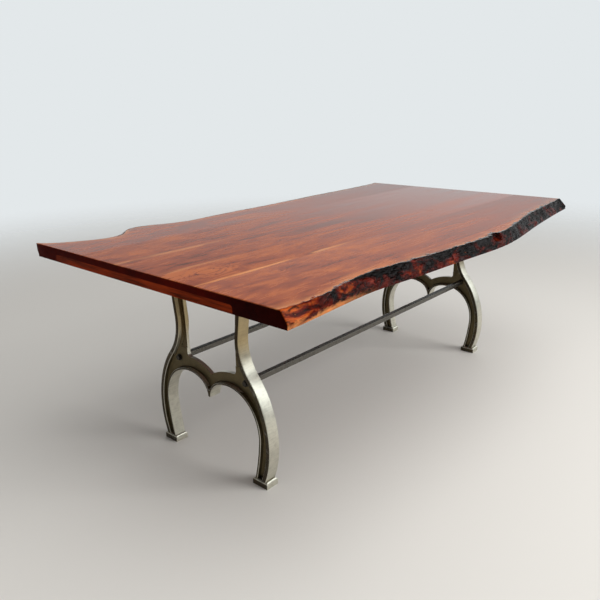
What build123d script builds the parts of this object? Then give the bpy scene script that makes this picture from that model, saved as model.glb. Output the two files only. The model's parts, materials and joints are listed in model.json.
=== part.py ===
from build123d import *
import os

os.makedirs("parts", exist_ok=True)

# Live-edge slab table on two cast-iron end frames.
# +X runs along the table, +Y towards the far live edge, +Z up.
# The origin is on the floor, under the middle of the slab.

# Overall size
table_length = 2048.0
table_width = 1211.0
table_height = 762.0
slab_thickness = 46.0

# Slab: edge-glued boards, the two outer ones with a live edge
near_joint_y = -256.0
near_inner_width = 168.0
centre_width = 202.0
far_inner_width = 203.0
arris_radius = 2.0

# Near live edge: share of the length, inset of the top arris, inset of the widest line below it
near_edge = [
    (-0.50, 55.0, 32.0),
    (-0.36, 66.0, 49.0),
    (-0.32, 76.0, 51.0),
    (-0.24, 62.0, 38.0),
    (-0.07, 26.0, 14.0),
    (0.05, 17.0, 0.0),
    (0.11, 28.0, 8.0),
    (0.24, 74.0, 44.0),
    (0.36, 99.0, 73.0),
    (0.50, 131.0, 100.0),
]
near_belly_height = 14.0
near_undercut = 1.0

# Far live edge: share of the length, inset of the top arris
far_edge = [
    (-0.50, 0.0),
    (-0.43, 104.0),
    (-0.38, 117.0),
    (-0.325, 35.0),
    (-0.29, 41.0),
    (-0.24, 80.0),
    (-0.13, 80.0),
    (0.0, 75.0),
    (0.20, 50.0),
    (0.35, 42.0),
    (0.50, 17.0),
]
far_shoulder_height = 22.0
far_shoulder_tuck = 1.0
far_undercut = 9.0

# Cross battens let into the underside at both ends
batten_length = 862.0
batten_width = 70.0
batten_thickness = 24.0
batten_corner = 10.0
batten_offset_y = 10.0

# End frames
frame_setback = 278.0
leg_line_y = 33.5
casting_depth = 47.0
web_thickness = 14.0
upright_web_thickness = 10.0
rim_width = 18.0
arch_rim_width = 9.0
upright_width = 41.0

# Casting outline: half widths from its middle line, heights from the floor
top_half = 186.0
neck_half = 160.0
neck_height = 515.0
hip_half = 200.0
hip_height = 377.0
ankle_half = 258.0
leg_width = 47.5
shin_slope = 75.7
calf_half = 234.0
calf_height = 159.0
haunch_half = 220.0
haunch_height = 242.0
spandrel_half = 49.0
spandrel_height = 312.0
cusp_half = 6.0
cusp_height = 252.0
cusp_radius = 5.0
pocket_nose_radius = 6.0
notch_height = 333.0
crown_height = 366.0
crown_radius = 200.0
crotch_half = 124.0
crotch_radius = 14.0
upright_radius = 2086.0
panel_step = 32.0
panel_land = 3.0
rim_chamfer = 2.0
web_cove = 4.0

# Foot pads and palms of the casting
pad_depth = 52.0
pad_width = 66.0
pad_height = 24.0
pad_chamfer = 6.0
pad_half = 236.0
palm_depth = 70.0
palm_length = 116.0
palm_thickness = 10.0
palm_corner = 10.0
slot_length = 16.0
screw_margin = 20.0

# Stretchers and their bolts
stretcher_side = 20.0
stretcher_wall = 2.0
stretcher_corner = 2.5
plug_length = 32.0
bolt_half = 170.0
bolt_height = 351.0
bolt_engagement = 26.0
bolt_diameter = 10.0
bolt_clearance = 1.0
bolt_head_across_flats = 17.0
bolt_head_height = 6.5
washer_diameter = 24.0
washer_thickness = 2.5

# Screws up into the slab
screw_diameter = 6.0
screw_clearance = 1.0
screw_depth_in_wood = 28.0
screw_head_across_flats = 10.0
screw_head_height = 4.5
screw_washer_diameter = 16.0
screw_washer_thickness = 1.5
batten_screw_diameter = 5.0
batten_screw_head = 10.0
batten_screw_depth_in_slab = 14.0
batten_screw_count = 5
batten_screw_margin = 60.0

# Derived places
half_length = table_length / 2
half_width = table_width / 2
underside = table_height - slab_thickness
near_inner_y = near_joint_y + near_inner_width
centre_y = near_inner_y + centre_width
far_joint_y = centre_y + far_inner_width
frame_x_half = half_length - frame_setback
frame_xs = (-frame_x_half, frame_x_half)
sides = (-1, 1)
palm_underside = underside - palm_thickness
palm_half = top_half - upright_width / 2
ankle_height = pad_height - pad_chamfer

batten_y = leg_line_y + batten_offset_y
batten_xs = (-half_length, half_length - batten_width)
batten_screw_pitch = (batten_length - 2 * batten_screw_margin) / (batten_screw_count - 1)
batten_head_height = (batten_screw_head - batten_screw_diameter) / 2
batten_screw_places = []
for batten_x in batten_xs:
    for row in range(batten_screw_count):
        screw_y = batten_y - batten_length / 2 + batten_screw_margin + row * batten_screw_pitch
        batten_screw_places.append((batten_x + batten_width / 2, screw_y))

# Each palm takes one screw outside the rim and two inside it, one on each side of the web
top_screw_places = []
for frame_x in frame_xs:
    for side in sides:
        outer_screw_y = leg_line_y + side * (palm_half + palm_length / 2 - screw_margin)
        inner_screw_y = leg_line_y + side * (palm_half - palm_length / 2 + screw_margin)
        top_screw_places.append((frame_x, outer_screw_y))
        for across in sides:
            inner_screw_x = frame_x + across * (palm_depth / 2 - screw_margin)
            top_screw_places.append((inner_screw_x, inner_screw_y))


# Cuts in the underside of the slab: batten seats and screw holes
def batten_profile():
    """Section of a cross batten, with its upper corners rounded."""
    with BuildSketch() as profile:
        with Locations((batten_y, underside + batten_thickness / 2)):
            Rectangle(batten_length, batten_thickness)
        fillet(profile.vertices().group_by(Axis.Y)[-1], batten_corner)
    return profile.sketch


with BuildPart() as slab_cuts:
    for batten_x in batten_xs:
        with BuildSketch(Plane.YZ.offset(batten_x)):
            add(batten_profile())
        extrude(amount=batten_width)
    with BuildSketch(Plane.XY.offset(underside)):
        with Locations(*batten_screw_places):
            Circle(batten_screw_diameter / 2)
    extrude(amount=batten_thickness + batten_screw_depth_in_slab)
    with BuildSketch(Plane.XY.offset(underside)):
        with Locations(*top_screw_places):
            Circle(screw_diameter / 2)
    extrude(amount=screw_depth_in_wood)


# Slab boards
def live_edge(side, stations):
    """Plan points of a live edge on the near (-1) or far (+1) side of the slab."""
    return [(table_length * share, side * (half_width - inset)) for share, inset in stations]


near_low = live_edge(-1, [(share, belly + near_undercut) for share, top, belly in near_edge])
near_belly = live_edge(-1, [(share, belly) for share, top, belly in near_edge])
near_top = live_edge(-1, [(share, top) for share, top, belly in near_edge])
near_levels = [
    (underside, near_low),
    (underside + near_belly_height, near_belly),
    (table_height, near_top),
]
far_low = live_edge(1, [(share, top + far_undercut) for share, top in far_edge])
far_shoulder = live_edge(1, [(share, top + far_shoulder_tuck) for share, top in far_edge])
far_top = live_edge(1, far_edge)
far_levels = [
    (underside, far_low),
    (table_height - far_shoulder_height, far_shoulder),
    (table_height, far_top),
]

for label, joint_y, levels in (
    ("near_edge_board", near_joint_y, near_levels),
    ("far_edge_board", far_joint_y, far_levels),
):
    with BuildPart() as edge_board:
        for level, outline in levels:
            with BuildSketch(Plane.XY.offset(level)):
                with BuildLine():
                    live = Spline(*outline)
                    Polyline(live @ 1, (half_length, joint_y), (-half_length, joint_y), live @ 0)
                make_face()
        loft(ruled=True)
        add(slab_cuts.part, mode=Mode.SUBTRACT)
    edge_board.part.label = label
    export_step(edge_board.part, f"parts/{label}.step")

for label, low_y, high_y in (
    ("near_inner_board", near_joint_y, near_inner_y),
    ("centre_board", near_inner_y, centre_y),
    ("far_inner_board", centre_y, far_joint_y),
):
    with BuildPart() as inner_board:
        with BuildSketch(Plane.XY.offset(underside)):
            with Locations((0, (low_y + high_y) / 2)):
                Rectangle(table_length, high_y - low_y)
        extrude(amount=slab_thickness)
        end_arrises = inner_board.edges().filter_by(Axis.Y).group_by(Axis.Z)[-1]
        fillet(end_arrises, arris_radius)
        add(slab_cuts.part, mode=Mode.SUBTRACT)
    inner_board.part.label = label
    export_step(inner_board.part, f"parts/{label}.step")

# Cross battens, flush with the ends of the slab
for label, batten_x in zip(("left_end_batten", "right_end_batten"), batten_xs):
    with BuildPart() as batten:
        with BuildSketch(Plane.YZ.offset(batten_x)):
            add(batten_profile())
        extrude(amount=batten_width)
        with BuildSketch(Plane.XY.offset(underside)):
            with Locations(*batten_screw_places):
                Circle(batten_screw_head / 2)
        extrude(amount=batten_head_height, taper=45, mode=Mode.SUBTRACT)
        with BuildSketch(Plane.XY.offset(underside)):
            with Locations(*batten_screw_places):
                Circle(batten_screw_diameter / 2)
        extrude(amount=batten_thickness, mode=Mode.SUBTRACT)
    batten.part.label = label
    export_step(batten.part, f"parts/{label}.step")

with BuildPart() as batten_screws:
    with BuildSketch(Plane.XY.offset(underside)):
        with Locations(*batten_screw_places):
            Circle(batten_screw_head / 2)
    extrude(amount=batten_head_height, taper=45)
    with BuildSketch(Plane.XY.offset(underside)):
        with Locations(*batten_screw_places):
            Circle(batten_screw_diameter / 2)
    extrude(amount=batten_thickness + batten_screw_depth_in_slab)
batten_screws.part.label = "batten_screws"
export_step(batten_screws.part, "parts/batten_screws.step")


# End frames: one casting each, with a rim round the outside, a lighter rim under the arches,
# and a web between them. The outline is drawn for one half, in tangent arcs, and mirrored.
with BuildLine() as outside:
    post = Line((top_half, palm_underside), (neck_half, neck_height))
    neck = TangentArc(post @ 1, (hip_half, hip_height), tangent=post % 1)
    TangentArc(neck @ 1, (ankle_half, ankle_height), tangent=neck % 1)

with BuildLine() as arch:
    shin_lead = Vector(1, 0).rotate(Axis.Z, shin_slope)
    foot = (ankle_half - leg_width, ankle_height)
    shin = TangentArc(foot, (calf_half, calf_height), tangent=shin_lead)
    haunch = TangentArc(shin @ 1, (haunch_half, haunch_height), tangent=shin % 1)
    soffit = TangentArc(haunch @ 1, (spandrel_half, spandrel_height), tangent=haunch % 1)
    TangentArc(soffit @ 1, (cusp_half, cusp_height), tangent=soffit % 1)

rim_line = offset(outside.line, rim_width, side=Side.RIGHT, closed=False)
arch_line = offset(arch.line, arch_rim_width, side=Side.RIGHT, closed=False)
panel_line = offset(outside.line, rim_width + web_cove + panel_land, side=Side.RIGHT, closed=False)
web_seats = []
for line in (rim_line, arch_line):
    for side in sides:
        web_seats.append((side * (line @ 0.5).X, (line @ 0.5).Y, 0))

with BuildSketch() as casting_outline:
    with BuildLine():
        add(outside.line)
        add(arch.line)
        Line(outside.line @ 1, arch.line @ 0)
        Polyline(arch.line @ 1, (0, cusp_height), (0, notch_height))
        crown = RadiusArc((0, notch_height), (crotch_half, crown_height), crown_radius)
        upright = RadiusArc(crown @ 1, (top_half - upright_width, palm_underside), upright_radius)
        Line(upright @ 1, outside.line @ 0)
    make_face()
    fillet(casting_outline.vertices().sort_by_distance(crown @ 1)[0], crotch_radius)
    fillet(casting_outline.vertices().sort_by_distance(arch.line @ 1)[0], cusp_radius)
    mirror(about=Plane.YZ)

with BuildSketch() as web_pocket:
    with BuildLine():
        add(rim_line)
        add(arch_line)
        Polyline(rim_line @ 1, rim_line @ 1 + (rim_line % 1) * pad_height, arch_line @ 0)
        Polyline(
            arch_line @ 1,
            (-arch_rim_width, (arch_line @ 1).Y),
            (-arch_rim_width, palm_underside),
            rim_line @ 0,
        )
    make_face()
    split(bisect_by=Plane.YZ)
    mirror(about=Plane.YZ)
    pocket_nose = web_pocket.vertices().sort_by_distance((0, cusp_height))[0]
    fillet(pocket_nose, pocket_nose_radius)

with BuildSketch() as upright_panel:
    with BuildLine():
        add(panel_line)
        Polyline(panel_line @ 1, (0, pad_height), (0, palm_underside), panel_line @ 0)
    make_face()
    mirror(about=Plane.YZ)
    with Locations((0, (crown_height + panel_step + palm_underside) / 2)):
        Rectangle(2 * top_half, palm_underside - crown_height - panel_step, mode=Mode.INTERSECT)

for label, frame_x in zip(("left_end_frame", "right_end_frame"), frame_xs):
    middle = Plane(origin=(frame_x, leg_line_y, 0), x_dir=(0, 1, 0), z_dir=(1, 0, 0))
    with BuildPart() as casting:
        with BuildSketch(middle.offset(-casting_depth / 2)):
            add(casting_outline.sketch)
        extrude(amount=casting_depth)
        for side in sides:
            with BuildSketch(middle.offset(side * web_thickness / 2)):
                add(web_pocket.sketch)
            extrude(amount=side * casting_depth, mode=Mode.SUBTRACT)
        flats = casting.faces().filter_by(Plane.YZ).group_by(Axis.X)
        rim_edges = (flats[0] + flats[-1]).edges().filter_by(Axis.Y, reverse=True)
        chamfer(rim_edges, rim_chamfer)
        web_edges = []
        for side in sides:
            web_face = middle.offset(side * web_thickness / 2)
            for seat in web_seats:
                web_edges.append(casting.edges().sort_by_distance(web_face.from_local_coords(seat))[0])
        chamfer(web_edges, web_cove)
        for side in sides:
            with BuildSketch(middle.offset(side * upright_web_thickness / 2)):
                add(upright_panel.sketch)
            extrude(amount=side * web_thickness, mode=Mode.SUBTRACT)
        pads = Locations(*[(frame_x, leg_line_y + side * pad_half) for side in sides])
        with BuildSketch():
            with pads:
                Rectangle(pad_depth, pad_width)
        extrude(amount=ankle_height)
        with BuildSketch(Plane.XY.offset(ankle_height)):
            with pads:
                Rectangle(pad_depth, pad_width)
        extrude(amount=pad_chamfer, taper=45)
        with BuildSketch(Plane.XY.offset(palm_underside)):
            with Locations(*[(frame_x, leg_line_y + side * palm_half) for side in sides]):
                RectangleRounded(palm_depth, palm_length, palm_corner)
            with Locations(*top_screw_places):
                SlotOverall(slot_length, screw_diameter + screw_clearance, 90, mode=Mode.SUBTRACT)
        extrude(amount=palm_thickness)
        with BuildSketch(middle):
            with Locations(*[(side * bolt_half, bolt_height) for side in sides]):
                Circle((bolt_diameter + bolt_clearance) / 2)
        extrude(amount=casting_depth / 2, both=True, mode=Mode.SUBTRACT)
    casting.part.label = label
    export_step(casting.part, f"parts/{label}.step")

# Stretchers: square tubes that butt on the webs, with a tapped plug in each end
tube_end = frame_x_half - web_thickness / 2
plug_side = stretcher_side - 2 * stretcher_wall
plug_corner = stretcher_corner / 2
for name, side in (("front", -1), ("back", 1)):
    tube_axis = (leg_line_y + side * bolt_half, bolt_height)
    with BuildPart() as stretcher:
        with BuildSketch(Plane.YZ.offset(-tube_end)):
            with Locations(tube_axis):
                RectangleRounded(stretcher_side, stretcher_side, stretcher_corner)
                RectangleRounded(plug_side, plug_side, plug_corner, mode=Mode.SUBTRACT)
        extrude(amount=2 * tube_end)
    stretcher.part.label = f"{name}_stretcher"
    export_step(stretcher.part, f"parts/{name}_stretcher.step")
    for end, plug_x in (("left", -tube_end), ("right", tube_end - plug_length)):
        with BuildPart() as plug:
            with BuildSketch(Plane.YZ.offset(plug_x)):
                with Locations(tube_axis):
                    RectangleRounded(plug_side, plug_side, plug_corner)
                    Circle(bolt_diameter / 2, mode=Mode.SUBTRACT)
            extrude(amount=plug_length)
        plug.part.label = f"{name}_{end}_plug"
        export_step(plug.part, f"parts/{name}_{end}_plug.step")

# Bolts through the webs into the plugs, with a washer under each head
bolt_places = [(leg_line_y + side * bolt_half, bolt_height) for side in sides]
with BuildPart() as stretcher_bolts:
    for side in sides:
        washer_face = side * (frame_x_half + web_thickness / 2 + washer_thickness)
        with BuildSketch(Plane.YZ.offset(washer_face)):
            with Locations(*bolt_places):
                RegularPolygon(bolt_head_across_flats / 2, 6, major_radius=False)
        extrude(amount=side * bolt_head_height)
        with BuildSketch(Plane.YZ.offset(washer_face)):
            with Locations(*bolt_places):
                Circle(bolt_diameter / 2)
        extrude(amount=-side * (washer_thickness + web_thickness + bolt_engagement))
stretcher_bolts.part.label = "stretcher_bolts"
export_step(stretcher_bolts.part, "parts/stretcher_bolts.step")

with BuildPart() as stretcher_bolt_washers:
    for side in sides:
        with BuildSketch(Plane.YZ.offset(side * (frame_x_half + web_thickness / 2))):
            with Locations(*bolt_places):
                Circle(washer_diameter / 2)
                Circle((bolt_diameter + bolt_clearance) / 2, mode=Mode.SUBTRACT)
        extrude(amount=side * washer_thickness)
stretcher_bolt_washers.part.label = "stretcher_bolt_washers"
export_step(stretcher_bolt_washers.part, "parts/stretcher_bolt_washers.step")

# Screws up through the slots of the palms, with a washer under each head
with BuildPart() as top_screws:
    with BuildSketch(Plane.XY.offset(palm_underside - screw_washer_thickness)):
        with Locations(*top_screw_places):
            RegularPolygon(screw_head_across_flats / 2, 6, major_radius=False)
    extrude(amount=-screw_head_height)
    with BuildSketch(Plane.XY.offset(palm_underside - screw_washer_thickness)):
        with Locations(*top_screw_places):
            Circle(screw_diameter / 2)
    extrude(amount=screw_washer_thickness + palm_thickness + screw_depth_in_wood)
top_screws.part.label = "top_screws"
export_step(top_screws.part, "parts/top_screws.step")

with BuildPart() as top_screw_washers:
    with BuildSketch(Plane.XY.offset(palm_underside)):
        with Locations(*top_screw_places):
            Circle(screw_washer_diameter / 2)
            Circle((screw_diameter + screw_clearance) / 2, mode=Mode.SUBTRACT)
    extrude(amount=-screw_washer_thickness)
top_screw_washers.part.label = "top_screw_washers"
export_step(top_screw_washers.part, "parts/top_screw_washers.step")
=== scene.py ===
import json
import math

import bpy
from bpy.props import FloatProperty, FloatVectorProperty, IntProperty, PointerProperty
from mathutils import Matrix, Vector

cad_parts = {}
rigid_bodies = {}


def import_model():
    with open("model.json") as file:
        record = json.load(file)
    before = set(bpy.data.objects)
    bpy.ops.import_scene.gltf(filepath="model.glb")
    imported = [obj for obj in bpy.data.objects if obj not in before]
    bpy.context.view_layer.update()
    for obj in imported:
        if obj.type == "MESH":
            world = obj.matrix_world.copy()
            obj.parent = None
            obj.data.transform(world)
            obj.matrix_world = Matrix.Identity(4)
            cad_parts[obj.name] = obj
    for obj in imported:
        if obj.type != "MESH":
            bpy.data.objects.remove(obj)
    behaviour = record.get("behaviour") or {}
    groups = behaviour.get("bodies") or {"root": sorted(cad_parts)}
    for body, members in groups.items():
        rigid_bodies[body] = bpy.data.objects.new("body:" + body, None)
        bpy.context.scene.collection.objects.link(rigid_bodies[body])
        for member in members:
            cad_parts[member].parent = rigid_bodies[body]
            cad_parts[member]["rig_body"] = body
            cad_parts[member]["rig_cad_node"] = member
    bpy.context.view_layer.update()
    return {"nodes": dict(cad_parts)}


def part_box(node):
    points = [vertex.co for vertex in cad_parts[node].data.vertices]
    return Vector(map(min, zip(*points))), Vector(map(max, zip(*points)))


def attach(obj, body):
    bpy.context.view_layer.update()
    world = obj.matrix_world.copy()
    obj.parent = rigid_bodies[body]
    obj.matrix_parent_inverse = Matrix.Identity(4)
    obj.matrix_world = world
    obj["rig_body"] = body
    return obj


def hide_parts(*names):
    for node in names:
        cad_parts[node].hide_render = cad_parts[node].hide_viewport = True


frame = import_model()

bl_info = {
    "name": "Live-edge slab table",
    "version": (1, 0, 0),
    "blender": (4, 5, 0),
    "location": "View3D > Sidebar > Slab Table",
    "description": "Dresses a live-edge slab table on cast-iron end frames",
    "category": "Object",
}

NODES = frame["nodes"]
INNER_BOARDS = ("near_inner_board", "centre_board", "far_inner_board")
BATTENS = ("left_end_batten", "right_end_batten")
CASTINGS = ("left_end_frame", "right_end_frame")
STRETCHERS = ("front_stretcher", "back_stretcher")
PLUGS = ("front_left_plug", "front_right_plug", "back_left_plug", "back_right_plug")
BOLTS = ("stretcher_bolts", "stretcher_bolt_washers")
SCREWS = ("top_screws", "top_screw_washers", "batten_screws")

SLAB_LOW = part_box("near_edge_board")[0]
SLAB_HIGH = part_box("far_edge_board")[1]
JOINTS = [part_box(name)[0].y for name in INNER_BOARDS] + [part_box("far_inner_board")[1].y]
WEB_X = (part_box("left_end_frame")[0].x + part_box("left_end_frame")[1].x) / -2

# Looks of the five boards, near to far: pith line across and down the slab, tone, and full alpha
BOARD_LOOKS = (
    (0.10, 0.55, 0.52, 1.0), (0.33, 0.30, 0.60, 1.0), (0.60, 0.75, 0.38, 1.0),
    (0.64, 0.40, 0.44, 1.0), (0.98, 0.60, 0.36, 1.0))
# Knots in the top: X, Y and reach
KNOTS = ((-0.90, -0.165, 0.095), (-0.78, -0.32, 0.045))
# X where the knotty part of the top ends
KNOTS_END = -0.4
# Pale sapwood just beyond the glue joints: joint, X where it dies out, strength and half width
SAPWOOD_STREAKS = (
    (JOINTS[0], -0.42, 0.95, 0.010), (JOINTS[1], -0.80, 0.40, 0.014), (JOINTS[2], -0.62, 0.45, 0.016))
SAPWOOD_OFFSET = 0.006
NOISE_MEAN = 0.5

# Sheets of the live edges: rows of mesh cells, and the strip left free at the rim
EDGE_ROWS = 22
LIP = 0.0004
# Reach within which vertices are merged, and within which one counts as lying on a plane
MERGE = 0.00002
CLOSE = 0.00001


def linear(code):
    """Linear RGBA of an sRGB hex code."""
    channels = [int(code[place:place + 2], 16) / 255 for place in (1, 3, 5)]
    return [c / 12.92 if c <= 0.04045 else ((c + 0.055) / 1.055) ** 2.4 for c in channels] + [1.0]


def colour(name, description, code):
    """A colour that a user can change, with its sRGB hex code as default."""
    return FloatVectorProperty(
        name=name, description=description, subtype="COLOR", size=4, min=0, max=1, default=linear(code))


class SlabSettings(bpy.types.PropertyGroup):
    heartwood: colour("Heartwood", "Main colour of the varnished boards", "#93472A")
    dark_figure: colour("Dark figure", "Colour of the darkest streaks in the boards", "#5E2A18")
    light_figure: colour("Light figure", "Colour of the lightest streaks of the heartwood", "#B8632F")
    sapwood: colour("Sapwood", "Colour of the pale streaks along the glue joints", "#DE9459")
    end_grain: colour("End grain", "Colour of the sealed ends of the boards", "#4C0700")
    batten: colour("Batten", "Main colour of the cross battens", "#8E300C")
    bark: colour("Bark", "Darkest colour of the live edges", "#0C0605")
    bark_red: colour("Inner bark", "Red colour under the bark of the live edges", "#571409")
    bark_orange: colour("Cambium", "Bright colour where the bark has come off", "#B4531C")
    ring_width: FloatProperty(
        name="Ring width", description="Spacing of the growth rings, drawn coarse so that they show",
        unit="LENGTH", min=0.002, max=0.05, default=0.022)
    bark_relief: FloatProperty(
        name="Bark relief", description="Depth of the hollows in the live edges",
        unit="LENGTH", min=0.0, max=0.02, default=0.008)
    edge_cells: IntProperty(
        name="Edge cells", description="Mesh cells along a live edge",
        min=64, max=2048, default=900)
    arris: FloatProperty(
        name="Arris", description="Rounding of the top arris at the ends",
        unit="LENGTH", min=0.0005, max=0.01, default=0.002)


class MetalSettings(bpy.types.PropertyGroup):
    cast_iron: colour("Cast iron", "Burnished colour of the rims of the end frames", "#D6D3C4")
    # Cast skin also stands as painted shade: its dark colour darkens the flat faces along X
    skin_and_shade: colour("Cast skin", "Colour of the flat faces that were left as cast", "#473F32")
    # Bronzing is painted shade and painted reflection of the red slab on the uprights under it
    slab_shade_tint: colour("Bronzing", "Warm tint over the uprights of the end frames", "#D0BD9C")
    # Patina is also painted shade: its brown darkens the recesses and the faces that look onto nearby faces
    patina_and_shade: colour("Patina", "Brown colour left in the recesses of the end frames", "#75694D")
    stretcher: colour("Stretcher", "Colour of the blackened steel tubes", "#625F59")
    bolt: colour("Bolt", "Colour of the bolts and their washers", "#3A3630")
    zinc: colour("Zinc", "Colour of the plated screws under the slab", "#B9BDBF")


class StageSettings(bpy.types.PropertyGroup):
    floor: colour("Floor", "Colour of the plain floor", "#DAD7D1")
    backdrop: colour("Backdrop", "Colour behind the table", "#E3E8EA")
    floor_radius: FloatProperty(
        name="Floor radius", description="Radius of the floor before it fades out",
        unit="LENGTH", min=1, max=30, default=9.0)
    camera_place: FloatVectorProperty(
        name="Camera place", description="Where the camera stands",
        subtype="TRANSLATION", unit="LENGTH", size=3, default=(-1.99076, -1.45803, 1.21377))
    camera_turn: FloatVectorProperty(
        name="Camera turn", description="Heading from +X, dip and roll of the camera",
        subtype="EULER", unit="ROTATION", size=3,
        default=(math.radians(41.213), math.radians(17.902), math.radians(-0.811)))
    lens: FloatProperty(
        name="Lens", description="Focal length for a 36 mm frame",
        unit="CAMERA", min=10, max=200, default=36.65)
    window_power: FloatProperty(
        name="Window power", description="Power of the soft light on the right",
        unit="POWER", min=0, max=2000, default=250)
    ceiling_power: FloatProperty(
        name="Ceiling power", description="Power of the soft light overhead",
        unit="POWER", min=0, max=2000, default=42)


class TableSettings(bpy.types.PropertyGroup):
    slab: PointerProperty(type=SlabSettings, name="Slab", description="Sizes and colours of the top")
    metal: PointerProperty(type=MetalSettings, name="Metal", description="Colours of the frames and fixings")
    stage: PointerProperty(type=StageSettings, name="Stage", description="Floor, camera and lights")


def add_node(tree, kind, inputs=None, stops=None, **settings):
    """Adds a shader node with its settings and colour stops, and fills or links its inputs.

    Inputs go by name or number. A map range takes its value, the range that it comes from and
    the range that it goes to. Another node stands for its first live output.
    """
    made = tree.nodes.new("ShaderNode" + kind)
    for name, value in settings.items():
        setattr(made, name, value)
    for count, (spot, shade) in enumerate(stops or ()):
        elements = made.color_ramp.elements
        if count == 0:
            elements.remove(elements[1])
            elements[0].position = spot
        stop = elements.new(spot) if count else elements[0]
        stop.color = shade if hasattr(shade, "__len__") else (shade, shade, shade, 1.0)
    for name, value in (inputs or {}).items():
        if isinstance(value, bpy.types.Node):
            value = next(socket for socket in value.outputs if socket.enabled)
        if isinstance(value, bpy.types.NodeSocket):
            tree.links.new(value, made.inputs[name])
        else:
            made.inputs[name].default_value = value
    return made


def new_material(name):
    """An empty node material, as (material, tree, place), with the place in object coordinates."""
    material = bpy.data.materials.new(name)
    material.use_nodes = True
    tree = material.node_tree
    tree.nodes.clear()
    return material, tree, add_node(tree, "TexCoord").outputs["Object"]


def grain_noises(tree, place, shift):
    """Noises that make up the figure of the boards, by name, moved by each board's shift."""
    x, y, z = add_node(tree, "SeparateXYZ", {0: place}).outputs
    # Right of the knots the grain runs three times as long
    knotty = add_node(tree, "Math", {0: x, 1: KNOTS_END}, operation="MINIMUM")
    straight = add_node(tree, "Math", {0: x, 1: KNOTS_END}, operation="MAXIMUM")
    reach = add_node(tree, "Math", {0: straight, 1: 0.33, 2: knotty}, operation="MULTIPLY_ADD")
    drawn = add_node(tree, "CombineXYZ", {0: reach, 1: y, 2: z})
    moved = add_node(tree, "VectorMath", {0: drawn, 1: shift}, operation="ADD")
    noises = {}
    # Cells in a metre along the grain and across it
    for name, along, across, noise in (
            # Slow wander, 770 by 90 mm, and a finer one over it, 170 by 17 mm
            ("slow", 1.3, 11.0, {"Detail": 3.0}),
            ("fine", 6.0, 60.0, {"Detail": 4.0}),
            # Mottle, 125 by 45 mm, and broad streaks, 310 by 90 mm
            ("mottle", 8.0, 22.0, {"Detail": 5.0, "Roughness": 0.6, "Distortion": 0.9}),
            ("broad", 3.2, 11.0, {"Detail": 6.0, "Roughness": 0.62, "Distortion": 1.1}),
            # Short flecks, 36 by 9 mm, and fibres drawn 50 by 4 mm so that they show
            ("flecks", 28.0, 110.0, {"Detail": 3.0, "Roughness": 0.6, "Distortion": 1.2}),
            ("fibre", 20.0, 250.0, {"Detail": 3.0}),
            # Thin dark veins, 170 by 13 mm
            ("veins", 6.0, 75.0, {"Detail": 4.0, "Distortion": 0.5})):
        spot = add_node(tree, "Mapping", {0: moved, 3: (along, across, across)})
        noises[name] = add_node(tree, "TexNoise", {"Vector": spot, "Scale": 1.0, **noise})
    return noises


def knot_push(tree, place, mottle):
    """How far the knots push the grain aside, with an uneven outline."""
    push = None
    for knot_x, knot_y, reach in KNOTS:
        middle = (knot_x, knot_y, SLAB_HIGH.z)
        away = add_node(tree, "VectorMath", {0: place, 1: middle}, operation="SUBTRACT")
        oval = add_node(tree, "VectorMath", {0: away, 1: (0.65, 1.0, 1.0)}, operation="MULTIPLY")
        far = add_node(tree, "VectorMath", {0: oval}, operation="LENGTH")
        uneven = add_node(tree, "Math", {0: mottle, 1: reach * 0.5, 2: far}, operation="MULTIPLY_ADD")
        knot = add_node(
            tree, "MapRange", {0: uneven, 1: reach * 0.2, 2: reach * 1.25, 3: reach * 0.9, 4: 0.0},
            interpolation_type="SMOOTHERSTEP")
        push = knot if push is None else add_node(tree, "Math", {0: push, 1: knot}, operation="ADD")
    return push


def growth_rings(tree, place, pith_across, pith_down, noises, push, ring_width):
    """Growth rings round each board's pith line, dark in the late wood."""
    x, y, z = add_node(tree, "SeparateXYZ", {0: place}).outputs
    # The pith lies between 150 mm under the slab and 20 mm inside it, and leans along the board
    pith_y = add_node(tree, "MapRange", {0: pith_across, 3: SLAB_LOW.y, 4: SLAB_HIGH.y})
    pith_z = add_node(tree, "MapRange", {0: pith_down, 3: SLAB_LOW.z - 0.15, 4: SLAB_LOW.z + 0.02})
    lean = add_node(tree, "Math", {0: x, 1: 0.035, 2: pith_z}, operation="MULTIPLY_ADD")
    side = add_node(tree, "Math", {0: y, 1: pith_y}, operation="SUBTRACT")
    down = add_node(tree, "Math", {0: z, 1: lean}, operation="SUBTRACT")
    span = add_node(tree, "CombineXYZ", {0: side, 1: down})
    radius = add_node(tree, "VectorMath", {0: span}, operation="LENGTH")
    wander = add_node(tree, "Math", {0: noises["slow"], 1: 0.10, 2: radius}, operation="MULTIPLY_ADD")
    ruffle = add_node(tree, "Math", {0: noises["fine"], 1: 0.008, 2: wander}, operation="MULTIPLY_ADD")
    pushed = add_node(tree, "Math", {0: ruffle, 1: push}, operation="ADD")
    turns = add_node(tree, "Math", {0: pushed, 1: ring_width}, operation="DIVIDE")
    phase = add_node(tree, "Math", {0: turns}, operation="FRACT")
    return add_node(
        tree, "ValToRGB", {0: phase}, ((0.0, 0.74), (0.55, 0.56), (0.88, 0.10), (1.0, 0.72)))


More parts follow.
